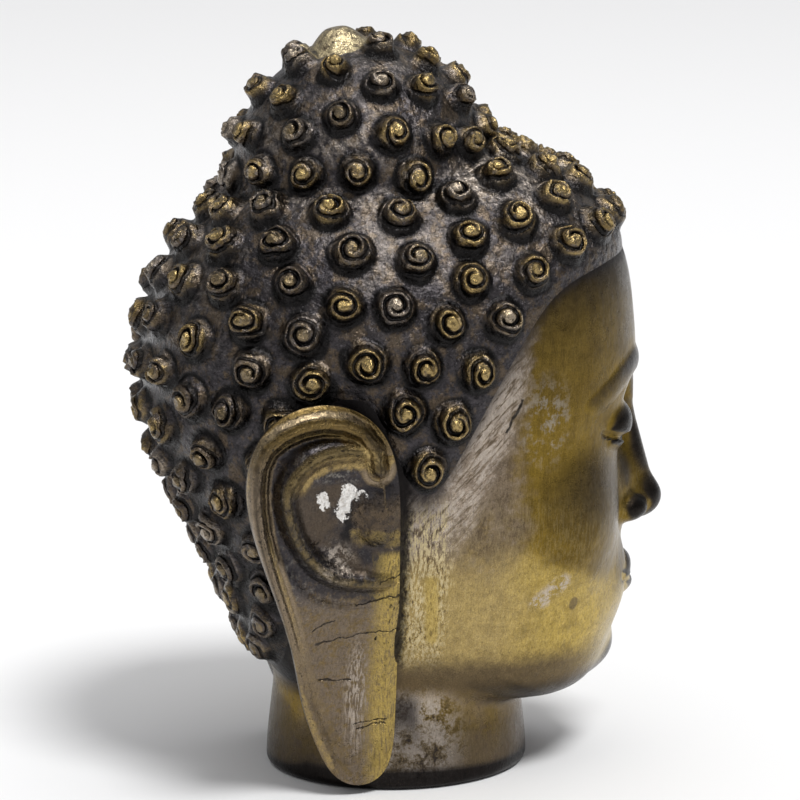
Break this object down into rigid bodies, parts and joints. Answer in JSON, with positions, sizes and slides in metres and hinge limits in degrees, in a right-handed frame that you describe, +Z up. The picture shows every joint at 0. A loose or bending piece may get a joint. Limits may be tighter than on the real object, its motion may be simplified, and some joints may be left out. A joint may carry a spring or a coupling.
{
  "type": "buddha head sculpture",
  "caption": "Cast bronze buddha head with rows of raised snail curls, a domed topknot, long ear lobes and a short neck cut flat so that it stands by itself.",
  "frame": {"origin": "centre of the neck on the flat underside that the head stands on", "axes": "+Z up to the topknot, -Y the way the face looks, +X the head's own left"},
  "size_m": [0.1818, 0.2198, 0.2992],
  "materials": {
    "bronze": "aged cast bronze: worn golden on the face and the curls' rims, dark patina in the hair and the hollows"
  },
  "bodies": {
    "root": {"buddha_head": "bronze"}
  },
  "joints": []
}
